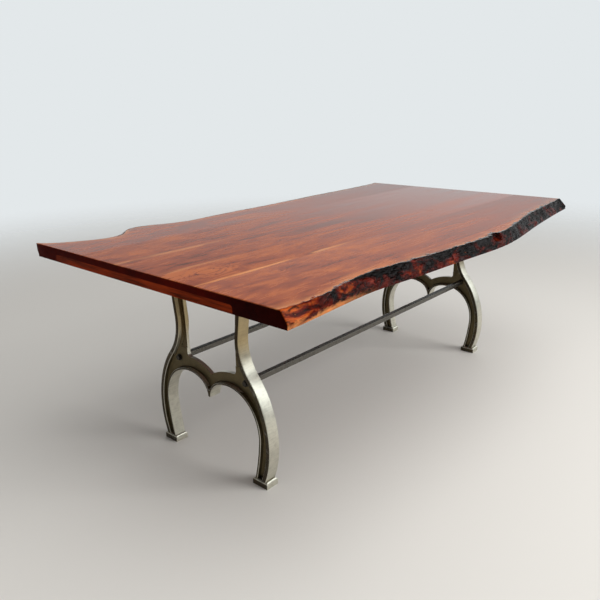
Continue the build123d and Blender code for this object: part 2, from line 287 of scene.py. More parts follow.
def sapwood_streaks(tree, place, timber, wave, sapwood):
    """Lays short broken streaks of sapwood over the timber, strongest towards the left end."""
    x, y, _ = add_node(tree, "SeparateXYZ", {0: place}).outputs
    # They break up in patches of 220 by 60 mm, and sway by 12 mm to either side
    sway = 0.024
    spot = add_node(tree, "Mapping", {0: place, 3: (4.5, 16.0, 16.0)})
    patch = add_node(tree, "TexNoise", {"Vector": spot, "Scale": 1.0, "Detail": 3.0})
    patches = add_node(tree, "MapRange", {0: patch, 1: 0.32, 2: 0.54}, interpolation_type="SMOOTHSTEP")
    for joint, end, strength, half in SAPWOOD_STREAKS:
        off = add_node(tree, "Math", {0: y, 1: joint + SAPWOOD_OFFSET}, operation="SUBTRACT")
        wavy = add_node(tree, "Math", {0: wave, 1: sway, 2: off}, operation="MULTIPLY_ADD")
        centred = add_node(tree, "Math", {0: wavy, 1: sway * NOISE_MEAN}, operation="SUBTRACT")
        distance = add_node(tree, "Math", {0: centred}, operation="ABSOLUTE")
        band = add_node(
            tree, "MapRange", {0: distance, 1: 0.0, 2: half, 3: strength, 4: 0.0},
            interpolation_type="SMOOTHSTEP")
        along = add_node(
            tree, "MapRange", {0: x, 1: end - 0.12, 2: end + 0.16, 3: 1.0, 4: 0.0},
            interpolation_type="SMOOTHSTEP")
        share = add_node(tree, "Math", {0: band, 1: along}, operation="MULTIPLY")
        broken = add_node(tree, "Math", {0: share, 1: patches}, operation="MULTIPLY")
        full = add_node(tree, "Math", {0: broken, 1: 1.15}, operation="MULTIPLY", use_clamp=True)
        timber = add_node(tree, "Mix", {0: full, 6: timber, 7: sapwood}, data_type="RGBA")
    return timber


def timber_pattern(tree, place, slab):
    """Colour and height of the boards' grain, as two nodes.

    Growth rings run along X round a pith line below each board, so that the same
    rings show as cathedrals on the top and as arcs on the ends.
    """
    x, y, _ = add_node(tree, "SeparateXYZ", {0: place}).outputs

    # Each board has its own looks, and its own part of every noise
    width = SLAB_HIGH.y - SLAB_LOW.y
    across = add_node(tree, "MapRange", {0: y, 1: SLAB_LOW.y, 2: SLAB_HIGH.y})
    board_starts = [0.0] + [(joint - SLAB_LOW.y) / width for joint in JOINTS]
    looks = add_node(tree, "ValToRGB", {0: across}, list(zip(board_starts, BOARD_LOOKS)))
    looks.color_ramp.interpolation = "CONSTANT"
    pith_across, pith_down, board_tone = add_node(tree, "SeparateColor", {0: looks}).outputs
    shift = add_node(tree, "VectorMath", {0: looks, 3: 9.0}, operation="SCALE")
    noises = grain_noises(tree, place, shift)
    push = knot_push(tree, place, noises["mottle"])
    ring = growth_rings(tree, place, pith_across, pith_down, noises, push, slab.ring_width)
    vein = add_node(
        tree, "MapRange", {0: noises["veins"], 1: 0.52, 2: 0.70, 3: 0.0, 4: -0.14},
        interpolation_type="SMOOTHSTEP")

    # The top is drawn darker towards the right end
    darker = add_node(tree, "MapRange", {0: x, 1: KNOTS_END, 2: 1.0, 3: 0.315, 4: 0.105})
    tone = add_node(tree, "Math", {0: board_tone, 1: 0.42, 2: darker}, operation="MULTIPLY_ADD")
    # All the figure swings about its mean, and is quieter towards the right end
    mottle_share, fibre_share, fleck_share = 0.85, 0.26, 0.16
    broad_mean = NOISE_MEAN * (1.0 + mottle_share)
    fine_mean = NOISE_MEAN * (fibre_share + fleck_share)
    quiet = add_node(tree, "MapRange", {0: x, 1: KNOTS_END, 2: 0.5, 3: 1.0, 4: 0.5})
    mottled = add_node(
        tree, "Math", {0: noises["mottle"], 1: mottle_share, 2: -broad_mean}, operation="MULTIPLY_ADD")
    swings = add_node(tree, "Math", {0: noises["broad"], 1: mottled}, operation="ADD")
    veined = add_node(tree, "Math", {0: swings, 1: vein}, operation="ADD")
    figured = add_node(tree, "Math", {0: veined, 1: quiet, 2: tone}, operation="MULTIPLY_ADD")
    flecked = add_node(
        tree, "Math", {0: noises["flecks"], 1: fleck_share, 2: -fine_mean}, operation="MULTIPLY_ADD")
    fibred = add_node(
        tree, "Math", {0: noises["fibre"], 1: fibre_share, 2: flecked}, operation="MULTIPLY_ADD")
    fine_grain = add_node(tree, "Math", {0: fibred, 1: quiet, 2: fine_mean}, operation="MULTIPLY_ADD")
    # Rings show most round the knots
    ring_share = add_node(tree, "Math", {0: push, 1: 9.0, 2: 0.08}, operation="MULTIPLY_ADD")
    ring_swing = add_node(tree, "Math", {0: ring, 1: 0.5}, operation="SUBTRACT")
    ringed = add_node(tree, "Math", {0: ring_swing, 1: ring_share, 2: figured}, operation="MULTIPLY_ADD")
    height = add_node(tree, "Math", {0: fine_grain, 1: ringed}, operation="ADD")
    figure = add_node(
        tree, "ValToRGB", {0: height},
        ((0.34, slab.dark_figure), (0.66, slab.heartwood), (1.0, slab.light_figure)))
    return sapwood_streaks(tree, place, figure, noises["broad"], slab.sapwood), height


def bark_pattern(tree, place, bark, slab):
    """Bark of the live edges, as nodes: its lumps, cover, colour, roughness and height."""
    x, _, z = add_node(tree, "SeparateXYZ", {0: place}).outputs
    # Lumps about 100 mm long and 50 mm high, ridges about 40 mm and 20 mm, grit about 4 mm
    lump_spot = add_node(tree, "Mapping", {0: place, 3: (10.0, 19.0, 22.0)})
    lumps = add_node(
        tree, "TexNoise",
        {"Vector": lump_spot, "Scale": 1.0, "Detail": 4.0, "Roughness": 0.6, "Distortion": 0.8})
    ridge_spot = add_node(tree, "Mapping", {0: place, 3: (24.0, 46.0, 58.0)})
    ridges = add_node(
        tree, "TexNoise", {"Vector": ridge_spot, "Scale": 1.0, "Detail": 3.0, "Distortion": 1.4})
    grit = add_node(tree, "TexNoise", {"Vector": place, "Scale": 1000 / 4, "Detail": 2.0})

    # The bark has come off at the left end and here and there low down, and stays on at the right
    along = add_node(tree, "MapRange", {0: x, 1: SLAB_LOW.x, 2: SLAB_HIGH.x})
    bare = add_node(
        tree, "ValToRGB", {0: along},
        ((0.0, 0.23), (0.07, 0.15), (0.15, 0.07), (0.45, 0.04), (0.8, 0.0)))
    low = add_node(tree, "MapRange", {0: z, 1: SLAB_LOW.z, 2: SLAB_HIGH.z, 3: 0.02, 4: -0.12})
    peeled = add_node(tree, "Math", {0: bare, 1: low}, operation="ADD")
    amount = add_node(tree, "Math", {0: lumps, 1: peeled}, operation="ADD")
    shades = add_node(
        tree, "ValToRGB", {0: amount},
        ((0.48, slab.bark), (0.62, slab.bark_red), (0.82, slab.bark_orange)))
    crag = add_node(tree, "MapRange", {0: ridges, 1: 0.36, 2: 0.62, 3: 0.0, 4: 1.0})
    # The hollows between the ridges are darkened and the crests a little lightened: painted shade and
    # painted light
    shadow = add_node(tree, "MapRange", {0: crag, 3: 0.15, 4: 1.1})
    hollow_shaded_bark = add_node(
        tree, "Mix", {0: 1.0, 6: shades, 7: shadow}, data_type="RGBA", blend_type="MULTIPLY")
    torn = add_node(tree, "Math", {0: lumps, 1: 1.5, 2: bark}, operation="MULTIPLY_ADD")
    ragged = add_node(tree, "Math", {0: ridges, 1: 0.9, 2: torn}, operation="MULTIPLY_ADD")
    kept = add_node(tree, "Math", {0: bare, 1: -0.9, 2: ragged}, operation="MULTIPLY_ADD")
    cover = add_node(tree, "MapRange", {0: kept, 1: 1.66, 2: 1.82}, interpolation_type="SMOOTHSTEP")

    # Low down at the left end, sapwood shows where the bark has peeled off
    tongue = add_node(tree, "Math", {0: lumps, 1: -0.05, 2: z}, operation="MULTIPLY_ADD")
    foot = add_node(
        tree, "MapRange", {0: tongue, 1: SLAB_LOW.z - 0.022, 2: SLAB_LOW.z - 0.012, 3: 0.5, 4: 0.0})
    left = add_node(tree, "MapRange", {0: x, 1: -0.85, 2: -0.62, 3: 1.0, 4: 0.0})
    strip = add_node(tree, "Math", {0: foot, 1: left}, operation="MULTIPLY")
    peeling = add_node(tree, "Mix", {0: strip, 6: hollow_shaded_bark, 7: slab.sapwood}, data_type="RGBA")

    # Varnish pools in the bark, so it glints from small spots between dark hollows
    rough = add_node(tree, "MapRange", {0: ridges, 1: 0.35, 2: 0.65, 3: 0.20, 4: 0.08})
    relief = add_node(tree, "Math", {0: lumps, 1: 1.6, 2: crag}, operation="MULTIPLY_ADD")
    gritty = add_node(tree, "Math", {0: grit, 1: 0.06, 2: relief}, operation="MULTIPLY_ADD")
    # The left end of the edge is worn smooth
    calm = add_node(tree, "MapRange", {0: x, 1: -0.95, 2: -0.72, 3: 0.04, 4: 1.0})
    calmed = add_node(tree, "Math", {0: gritty, 1: calm}, operation="MULTIPLY")
    height = add_node(tree, "Math", {0: calmed, 1: cover}, operation="MULTIPLY")
    return lumps, cover, peeling, rough, height


def varnished_timber(slab, name, specular):
    """Red-brown hardwood under satin varnish: figured grain, soft gloss, bark left on its live edges."""
    material, tree, place = new_material(name)
    timber, grain = timber_pattern(tree, place, slab)
    bark = add_node(tree, "Attribute", attribute_name="bark").outputs["Fac"]
    lumps, cover, bark_colour, bark_rough, bark_height = bark_pattern(tree, place, bark, slab)
    # The underside is darkened: painted shade under the slab
    z = add_node(tree, "SeparateXYZ", {0: place}).outputs[2]
    under = add_node(
        tree, "MapRange", {0: z, 1: SLAB_LOW.z + 0.0002, 2: SLAB_LOW.z + 0.0008, 3: 0.3, 4: 1.0})
    under_shaded_timber = add_node(
        tree, "Mix", {0: 1.0, 6: timber, 7: under}, data_type="RGBA", blend_type="MULTIPLY")
    # Pale sapwood shows beside the bark on the top
    rim = add_node(tree, "MapRange", {0: bark, 1: 0.02, 2: 0.55, 3: 0.0, 4: 1.0})
    blotchy = add_node(tree, "MapRange", {0: lumps, 1: 0.40, 2: 0.60, 3: 0.1, 4: 0.65})
    pale = add_node(tree, "Math", {0: rim, 1: blotchy}, operation="MULTIPLY")
    rimmed = add_node(tree, "Mix", {0: pale, 6: under_shaded_timber, 7: slab.sapwood}, data_type="RGBA")
    surface = add_node(tree, "Mix", {0: cover, 6: rimmed, 7: bark_colour}, data_type="RGBA")

    gloss = add_node(tree, "MapRange", {0: grain, 1: 0.4, 2: 1.0, 3: 0.22, 4: 0.30})
    sheen = add_node(tree, "Mix", {0: cover, 2: gloss, 3: bark_rough})
    grain_bump = add_node(tree, "Bump", {"Strength": 0.04, "Distance": 0.0006, "Height": grain})
    bark_bump = add_node(
        tree, "Bump", {"Strength": 0.8, "Distance": 0.003, "Height": bark_height, "Normal": grain_bump})
    shader = add_node(tree, "BsdfPrincipled", {
        "Base Color": surface, "Roughness": sheen, "Normal": bark_bump, "Specular IOR Level": specular})
    add_node(tree, "OutputMaterial", {"Surface": shader})
    return material


def sealed_end_grain(slab):
    """Sawn hardwood ends that drank the varnish: dark, nearly matt, with ring arcs."""
    material, tree, place = new_material("sealed_end_grain")
    _, grain = timber_pattern(tree, place, slab)
    # Pores, drawn 2.4 mm apart so that they show
    pores = add_node(tree, "TexNoise", {"Vector": place, "Scale": 420.0, "Detail": 2.0})
    tint = add_node(tree, "MapRange", {0: grain, 1: 0.35, 2: 1.05, 3: 0.55, 4: 1.5})
    speck = add_node(tree, "MapRange", {0: pores, 1: 0.3, 2: 0.7, 3: 0.7, 4: 1.2})
    # The near board is the darkest
    y = add_node(tree, "SeparateXYZ", {0: place}).outputs[1]
    near = add_node(
        tree, "MapRange", {0: y, 1: -0.42, 2: -0.24, 3: 0.32, 4: 1.0}, interpolation_type="SMOOTHSTEP")
    dark = add_node(tree, "Math", {0: tint, 1: near}, operation="MULTIPLY")
    depth = add_node(tree, "Math", {0: dark, 1: speck}, operation="MULTIPLY")
    shade = add_node(
        tree, "Mix", {0: 1.0, 6: slab.end_grain, 7: depth}, data_type="RGBA", blend_type="MULTIPLY")
    bump = add_node(tree, "Bump", {"Strength": 0.2, "Distance": 0.0005, "Height": pores})
    shader = add_node(tree, "BsdfPrincipled", {
        "Base Color": shade, "Roughness": 0.5, "Normal": bump, "Specular IOR Level": 0.02})
    add_node(tree, "OutputMaterial", {"Surface": shader})
    return material


def batten_timber(slab):
    """Orange-red hardwood of the battens, grain along Y, planed and oiled."""
    material, tree, place = new_material("oiled_batten_hardwood")
    # Streaks 12 mm across and 0.2 m long, fibres drawn 3 mm wide so that they show
    streak_spot = add_node(tree, "Mapping", {0: place, 3: (85.0, 5.0, 85.0)})
    streaks = add_node(
        tree, "TexNoise", {"Vector": streak_spot, "Scale": 1.0, "Detail": 4.0, "Distortion": 0.5})
    fibre_spot = add_node(tree, "Mapping", {0: place, 3: (330.0, 14.0, 330.0)})
    fibres = add_node(tree, "TexNoise", {"Vector": fibre_spot, "Scale": 1.0, "Detail": 2.0})
    grain = add_node(tree, "Math", {0: fibres, 1: 0.4, 2: streaks}, operation="MULTIPLY_ADD")
    tint = add_node(tree, "MapRange", {0: grain, 1: 0.52, 2: 0.90, 3: 0.30, 4: 1.45})
    shade = add_node(
        tree, "Mix", {0: 1.0, 6: slab.batten, 7: tint}, data_type="RGBA", blend_type="MULTIPLY")
    bump = add_node(tree, "Bump", {"Strength": 0.15, "Distance": 0.0005, "Height": grain})
    shader = add_node(tree, "BsdfPrincipled", {
        "Base Color": shade, "Roughness": 0.45, "Normal": bump, "Specular IOR Level": 0.03})
    add_node(tree, "OutputMaterial", {"Surface": shader})
    return material


def burnished_iron(metal):
    """Sand-cast iron: rims ground to a nickel tone, flat faces with their dark cast skin, brown recesses,
    painted shade in both and on the uprights.
    """
    material, tree, place = new_material("burnished_cast_iron")
    # Mould skin: waves about 25 mm, sand grit drawn 2.5 mm so that it shows
    skin = add_node(
        tree, "TexNoise", {"Vector": place, "Scale": 1000 / 25, "Detail": 5.0, "Roughness": 0.6})
    sand = add_node(tree, "TexNoise", {"Vector": place, "Scale": 1000 / 2.5, "Detail": 2.0})
    # Grinding marks across the rims, drawn 4 mm apart so that they show
    mark_spot = add_node(tree, "Mapping", {0: place, 3: (18.0, 240.0, 240.0)})
    marks = add_node(tree, "TexNoise", {"Vector": mark_spot, "Scale": 1.0, "Detail": 3.0})
    # 0 on ground rims, 0.5 on the cast skin, 1 in the recesses; skin and recess colours are patina and
    # painted shade together
    recess = add_node(tree, "Attribute", attribute_name="recess").outputs["Fac"]
    smear = add_node(tree, "MapRange", {0: skin, 1: 0.3, 2: 0.7, 3: -0.16, 4: 0.16})
    skin_and_recess_shade = add_node(tree, "Math", {0: recess, 1: smear}, operation="ADD", use_clamp=True)
    base = add_node(
        tree, "ValToRGB", {0: skin_and_recess_shade},
        ((0.06, metal.cast_iron), (0.45, metal.skin_and_shade), (0.95, metal.patina_and_shade)))
    # The uprights under the slab take a warm, darker tint: painted shade and painted reflection of the slab
    z = add_node(tree, "SeparateXYZ", {0: place}).outputs[2]
    high = add_node(tree, "MapRange", {0: z, 1: 0.38, 2: 0.50}, interpolation_type="SMOOTHSTEP")
    under_slab_shaded = add_node(
        tree, "Mix", {0: high, 6: (1.0, 1.0, 1.0, 1.0), 7: metal.slab_shade_tint}, data_type="RGBA")
    warm = add_node(tree, "Mix", {0: 1.0, 6: base, 7: under_slab_shaded}, data_type="RGBA", blend_type="MULTIPLY")
    streaked = add_node(tree, "Math", {0: marks, 1: 0.5, 2: skin}, operation="MULTIPLY_ADD")
    blotch = add_node(tree, "MapRange", {0: streaked, 1: 0.5, 2: 1.0, 3: 0.74, 4: 1.10})
    tinted = add_node(tree, "Mix", {0: 1.0, 6: warm, 7: blotch}, data_type="RGBA", blend_type="MULTIPLY")
    rough = add_node(tree, "MapRange", {0: skin_and_recess_shade, 3: 0.32, 4: 0.52})
    uneven = add_node(tree, "Math", {0: streaked, 1: 0.16, 2: rough}, operation="MULTIPLY_ADD")
    polish = add_node(tree, "Math", {0: uneven, 1: 0.10}, operation="SUBTRACT")
    gritty = add_node(tree, "Math", {0: sand, 1: 0.4, 2: streaked}, operation="MULTIPLY_ADD")
    bump = add_node(tree, "Bump", {"Strength": 0.14, "Distance": 0.0008, "Height": gritty})
    shader = add_node(tree, "BsdfPrincipled", {
        "Base Color": tinted, "Metallic": 0.9, "Roughness": polish, "Normal": bump})
    add_node(tree, "OutputMaterial", {"Surface": shader})
    return material


def drawn_steel(name, tone, roughness, mottle, metallic):
    """Steel with a thin oxide or plated skin: a little mottled, with faint draw lines along X."""
    material, tree, place = new_material(name)
    # Mill marks 0.2 m long, drawn 4 mm apart so that they show, and blotches about 20 mm
    line_spot = add_node(tree, "Mapping", {0: place, 3: (5.0, 260.0, 260.0)})
    lines = add_node(tree, "TexNoise", {"Vector": line_spot, "Scale": 1.0, "Detail": 2.0})
    blotch = add_node(tree, "TexNoise", {"Vector": place, "Scale": 1000 / 20, "Detail": 4.0})
    both = add_node(tree, "Math", {0: lines, 1: 0.5, 2: blotch}, operation="MULTIPLY_ADD")
    tint = add_node(tree, "MapRange", {0: both, 1: 0.5, 2: 1.0, 3: 1.0 - mottle, 4: 1.0 + mottle})
    shade = add_node(tree, "Mix", {0: 1.0, 6: tone, 7: tint}, data_type="RGBA", blend_type="MULTIPLY")
    rough = add_node(
        tree, "MapRange", {0: both, 1: 0.5, 2: 1.0, 3: roughness - 0.07, 4: roughness + 0.1})
    bump = add_node(tree, "Bump", {"Strength": 0.06, "Distance": 0.0004, "Height": both})
    shader = add_node(tree, "BsdfPrincipled", {
        "Base Color": shade, "Metallic": metallic, "Roughness": rough, "Normal": bump})
    add_node(tree, "OutputMaterial", {"Surface": shader})
    return material


def plain_floor(stage):
    """Matt pale floor that fades into the backdrop far from the table."""
    material, tree, place = new_material("plain_floor")
    reach = add_node(tree, "VectorMath", {0: place}, operation="LENGTH")
    fade = add_node(
        tree, "MapRange", {0: reach, 1: 2.3, 2: stage.floor_radius * 0.7}, interpolation_type="SMOOTHSTEP")
    matt = add_node(tree, "BsdfPrincipled", {
        "Base Color": stage.floor, "Roughness": 0.6, "Specular IOR Level": 0.3})
    clear = add_node(tree, "BsdfTransparent")
    faded = add_node(tree, "MixShader", {0: fade, 1: matt, 2: clear})
    add_node(tree, "OutputMaterial", {"Surface": faded})
    return material


def studio_world(stage):
    """Soft light, strongest from the right, with a plain backdrop and a dim room for reflections."""
    world = bpy.data.worlds.new("soft studio")
    world.use_nodes = True
    tree = world.node_tree
    tree.nodes.clear()
    outlook = add_node(tree, "TexCoord").outputs["Generated"]
    bright_side = Vector((0.85, -0.35, 0.40)).normalized()
    facing = add_node(tree, "VectorMath", {0: outlook, 1: bright_side}, operation="DOT_PRODUCT")
    level = add_node(
        tree, "MapRange", {0: facing, 1: -0.6, 2: 0.9, 3: 0.14, 4: 0.85}, interpolation_type="SMOOTHSTEP")
    # Polish and varnish see a pale wall behind the table that darkens towards the ceiling
    upward = add_node(tree, "SeparateXYZ", {0: outlook}).outputs[2]
    behind = add_node(tree, "VectorMath", {0: outlook, 1: (0.64, 0.77, 0.0)}, operation="DOT_PRODUCT")
    ahead = add_node(
        tree, "MapRange", {0: behind, 1: 0.35, 2: 0.92, 3: 0.12, 4: 0.80}, interpolation_type="SMOOTHSTEP")
    wall = add_node(
        tree, "MapRange", {0: upward, 1: 0.08, 2: 0.36, 3: 1.56, 4: 0.08}, interpolation_type="SMOOTHSTEP")
    # They also see two windows: direction, rim, core and strength
    panes = []
    for aim, rim, core, strength in (
            ((0.70, -0.60, 0.39), 0.91, 0.985, 2.8), ((0.28, -0.79, 0.54), 0.96, 0.99, 5.0)):
        toward = add_node(tree, "VectorMath", {0: outlook, 1: aim}, operation="DOT_PRODUCT")
        panes.append(add_node(
            tree, "MapRange", {0: toward, 1: rim, 2: core, 3: 0.0, 4: strength},
            interpolation_type="SMOOTHSTEP"))
    windows = add_node(tree, "Math", {0: panes[0], 1: panes[1]}, operation="ADD")
    shine = add_node(tree, "Math", {0: ahead, 1: wall, 2: windows}, operation="MULTIPLY_ADD")
    path = add_node(tree, "LightPath").outputs
    mirrored = add_node(
        tree, "Math", {0: path["Is Glossy Ray"], 1: path["Is Transmission Ray"]}, operation="MAXIMUM")
    soft = add_node(tree, "Background", {0: (1.0, 1.0, 1.0, 1.0), 1: level})
    pale = add_node(tree, "Background", {0: stage.backdrop, 1: 1.0})
    room = add_node(tree, "Background", {0: stage.backdrop, 1: shine})
    unseen = add_node(tree, "MixShader", {0: mirrored, 1: soft, 2: room})
    shown = add_node(tree, "MixShader", {0: path["Is Camera Ray"], 1: unseen, 2: pale})
    add_node(tree, "OutputWorld", {0: shown})
    return world


def only(piece):
    """Leaves one object selected and active, in object mode."""
    if bpy.context.object and bpy.context.object.mode != "OBJECT":
        bpy.ops.object.mode_set(mode="OBJECT")
    bpy.ops.object.select_all(action="DESELECT")
    piece.select_set(True)
    bpy.context.view_layer.objects.active = piece


def pick(piece, test):
    """Selects the vertices that pass the test, and goes to edit mode."""
    only(piece)
    bpy.ops.object.mode_set(mode="EDIT")
    bpy.ops.mesh.select_mode(type="VERT")
    bpy.ops.mesh.select_all(action="DESELECT")
    bpy.ops.object.mode_set(mode="OBJECT")
    for vertex in piece.data.vertices:
        vertex.select = test(vertex)
    bpy.ops.object.mode_set(mode="EDIT")


def merged_copy(node, name):
    """A copy of a CAD node with its loose triangles merged."""
    piece = node.copy()
    piece.data = node.data.copy()
    piece.name = name
    piece.data.materials.clear()
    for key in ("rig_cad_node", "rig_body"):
        del piece[key]
    bpy.context.scene.collection.objects.link(piece)
    piece.parent = None
    only(piece)
    bpy.ops.object.mode_set(mode="EDIT")
    bpy.ops.mesh.select_all(action="SELECT")
    bpy.ops.mesh.remove_doubles(threshold=MERGE)
    bpy.ops.object.mode_set(mode="OBJECT")
    if piece.data.has_custom_normals:
        bpy.ops.mesh.customdata_custom_splitnormals_clear()
    return piece


def smooth(piece, degrees):
    """Smooth shading up to an angle."""
    only(piece)
    bpy.ops.object.shade_smooth_by_angle(angle=math.radians(degrees))


def dress(nodes, finish):
    """Gives CAD nodes that stay as they are their finish."""
    for node in nodes:
        NODES[node].data.materials.clear()
        NODES[node].data.materials.append(finish)


def mark_recesses(piece):
    """Face attribute of a casting: 1 in its recesses, 0.5 on its flat side faces and 0 on its rims; the
    material darkens recesses and flat faces as patina and cast skin, and as painted shade.
    """
    web_lean, flat_lean = 0.5, 0.9
    web_reach, lift, gap = 0.012, 0.0003, 0.06
    bpy.context.view_layer.update()
    marks = []
    for face in piece.data.polygons:
        lean = abs(face.normal.x)
        on_web = lean > web_lean and abs(abs(face.center.x) - WEB_X) < web_reach
        # A face that looks onto another face close by is marked as a recess, so that painted shade falls
        # into it
        facing = piece.ray_cast(face.center + face.normal * lift, face.normal, distance=gap)[0]
        marks.append(1.0 if on_web or facing else 0.5 if lean > flat_lean else 0.0)
    piece.data.attributes.new("recess", "FLOAT", "FACE").data.foreach_set("value", marks)


def finish_board(piece, node, finishes):
    """Gives a board its finishes (face, ends, and bark where it has any) and its place on the table."""
    square_on, least_area, barky_from = 0.97, 0.00002, 0.6
    piece.data.materials.clear()
    for finish in finishes:
        piece.data.materials.append(finish)
    bark = piece.data.attributes.get("bark")
    for face in piece.data.polygons:
        sawn = abs(face.normal.x) > square_on and face.area > least_area
        barky = bark and min(bark.data[corner].value for corner in face.vertices) > barky_from
        face.material_index = 1 if sawn else 2 if barky else 0
    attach(piece, "root")
    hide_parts(node)


def edge_sheet(node, name, side, cells):
    """Fine sheet laid on the live edge of a board's solid."""
    low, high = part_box(node)
    clear = 0.05
    outside = low.y - clear if side < 0 else high.y + clear
    bpy.ops.object.select_all(action="DESELECT")
    bpy.ops.mesh.primitive_grid_add(
        x_subdivisions=cells, y_subdivisions=EDGE_ROWS, size=1.0,
        location=(0, outside, (low.z + high.z) / 2), rotation=(math.radians(90), 0, 0))
    piece = bpy.context.object
    piece.name = name
    bpy.ops.object.mode_set(mode="EDIT")
    bpy.ops.transform.resize(value=(high.x - low.x - 2 * LIP, 1, high.z - low.z - 2 * LIP))
    bpy.ops.object.mode_set(mode="OBJECT")
    bpy.ops.object.transform_apply(location=True, rotation=True, scale=True)

    wrap = piece.modifiers.new("lay on edge", "SHRINKWRAP")
    wrap.target = NODES[node]
    wrap.wrap_method = "PROJECT"
    wrap.use_project_x = wrap.use_project_z = False
    wrap.use_project_y = True
    wrap.use_negative_direction = side > 0
    wrap.use_positive_direction = side < 0
    bpy.ops.object.modifier_apply(modifier=wrap.name)
    return piece


def roughen_edge(piece, node, side, depth):
    """Presses the bark's hollows into a sheet, dying out at its ends, its top arris and its foot."""
    low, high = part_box(node)
    end_fade, foot_fade, top_fade = 0.03, 0.25, 0.35
    arris_share, worn_share, far_share = 0.8, 0.15, 0.8
    worn_end, worn_fade = -0.95, 0.25
    rough = piece.vertex_groups.new(name="rough")
    for vertex in piece.data.vertices:
        height = (vertex.co.z - low.z) / (high.z - low.z)
        from_end = min(vertex.co.x - low.x, high.x - vertex.co.x)
        ends = min(1.0, from_end / end_fade)
        rise = min(1.0, height / foot_fade) * min(1.0, arris_share + (1.0 - height) / top_fade)
        # The near edge is worn smooth at its left end
        kept = min(1.0, max(0.0, (vertex.co.x - worn_end) / worn_fade))
        share = worn_share + (1.0 - worn_share) * kept if side < 0 else far_share
        rough.add([vertex.index], ends * rise * share, "REPLACE")

    # Lumps 55 mm, cells 30 mm and grit 9 mm, stretched along the edge, with their share of the depth
    for kind, grain, stretch, share in (
            ("CLOUDS", 0.055, 2.2, 1.0), ("VORONOI", 0.030, 1.6, 0.5), ("CLOUDS", 0.009, 1.3, 0.28)):
        texture = bpy.data.textures.new("bark " + kind.lower(), kind)
        texture.noise_scale = grain
        guide = bpy.data.objects.new("bark guide", None)
        guide.scale = (stretch, 1.0, 1.0)
        bpy.context.scene.collection.objects.link(guide)
        press = piece.modifiers.new("bark", "DISPLACE")
        press.texture = texture
        press.texture_coords = "OBJECT"
        press.texture_coords_object = guide
        press.direction = "Y"
        press.mid_level = 0.0
        press.strength = -side * depth * share
        press.vertex_group = "rough"
        bpy.context.view_layer.update()
        bpy.ops.object.modifier_apply(modifier=press.name)
        bpy.data.objects.remove(guide)
        bpy.data.textures.remove(texture)


def chip_arris(piece, top):
    """Breaks a chip out of the top arris near the widest point."""
    start, end, depth, inward, reach = 0.056, 0.086, 0.007, 0.016, 0.022
    pick(piece, lambda vertex: start < vertex.co.x < end and vertex.co.z > top - depth)
    bpy.ops.transform.translate(
        value=(0, inward, -depth), use_proportional_edit=True, use_proportional_connected=True,
        proportional_edit_falloff="SMOOTH", proportional_size=reach)


def close_sheet(piece, node, side, joint, cells):
    """Carries a sheet over the top, under the board and down the glue joint, and notes where bark is."""
    low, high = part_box(node)
    columns = cells + 1
    lower_share = 0.8
    bark = [1.0] * len(piece.data.vertices)
    for level, row, share in ((high.z, EDGE_ROWS, 1.0), (low.z, 0, lower_share)):
        rim = range(row * columns, (row + 1) * columns)
        pick(piece, lambda vertex: vertex.index in rim)
        bpy.ops.mesh.extrude_edges_move(TRANSFORM_OT_translate={"value": (0, -side * 2 * LIP, 0)})
        bpy.ops.transform.resize(value=(1, 1, 0), center_override=(0, 0, level))
        for inward in (0.006, 0.016, 0.030):
            bpy.ops.mesh.extrude_edges_move(TRANSFORM_OT_translate={"value": (0, -side * inward, 0)})
        bpy.ops.mesh.extrude_edges_move()
        bpy.ops.transform.resize(value=(1, 0, 1), center_override=(0, joint, level))
        bpy.ops.object.mode_set(mode="OBJECT")
        for weight in (0.92, 0.55, 0.2, 0.0, 0.0):
            bark.extend([weight * share] * columns)
    piece.data.attributes.new("bark", "FLOAT", "POINT").data.foreach_set("value", bark)
    pick(piece, lambda vertex: abs(vertex.co.y - joint) < CLOSE and vertex.co.z > high.z - CLOSE)
    bpy.ops.mesh.extrude_edges_move()
    bpy.ops.transform.resize(value=(1, 1, 0), center_override=(0, joint, low.z))
    bpy.ops.mesh.select_all(action="SELECT")
    bpy.ops.mesh.remove_doubles(threshold=MERGE)
    bpy.ops.mesh.select_all(action="DESELECT")
    bpy.ops.object.mode_set(mode="OBJECT")


def square_ends(piece, node, joint, arris):
    """Squares the ends of a board up to the saw cut, closes them and eases their top arrises."""
    low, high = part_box(node)
    edge_from, foot = 0.1, 0.004

    def on_arris(vertex):
        spot = vertex.co
        at_end = min(spot.x - low.x, high.x - spot.x) < CLOSE
        on_top = spot.z > high.z - CLOSE
        on_edge = abs(spot.y - joint) > edge_from and spot.z > low.z + foot
        return at_end and (on_top or on_edge)

    for end in (low.x, high.x):
        pick(piece, lambda vertex: abs(vertex.co.x - end) < 2 * LIP)
        bpy.ops.transform.resize(value=(0, 1, 1), center_override=(end, 0, 0))
    bpy.ops.mesh.select_all(action="DESELECT")
    bpy.ops.mesh.select_non_manifold()
    bpy.ops.mesh.fill_holes(sides=0)
    bpy.ops.mesh.select_all(action="SELECT")
    bpy.ops.mesh.normals_make_consistent(inside=False)
    pick(piece, on_arris)
    bpy.ops.mesh.bevel(offset=arris, segments=3, affect="EDGES")
    bpy.ops.object.mode_set(mode="OBJECT")


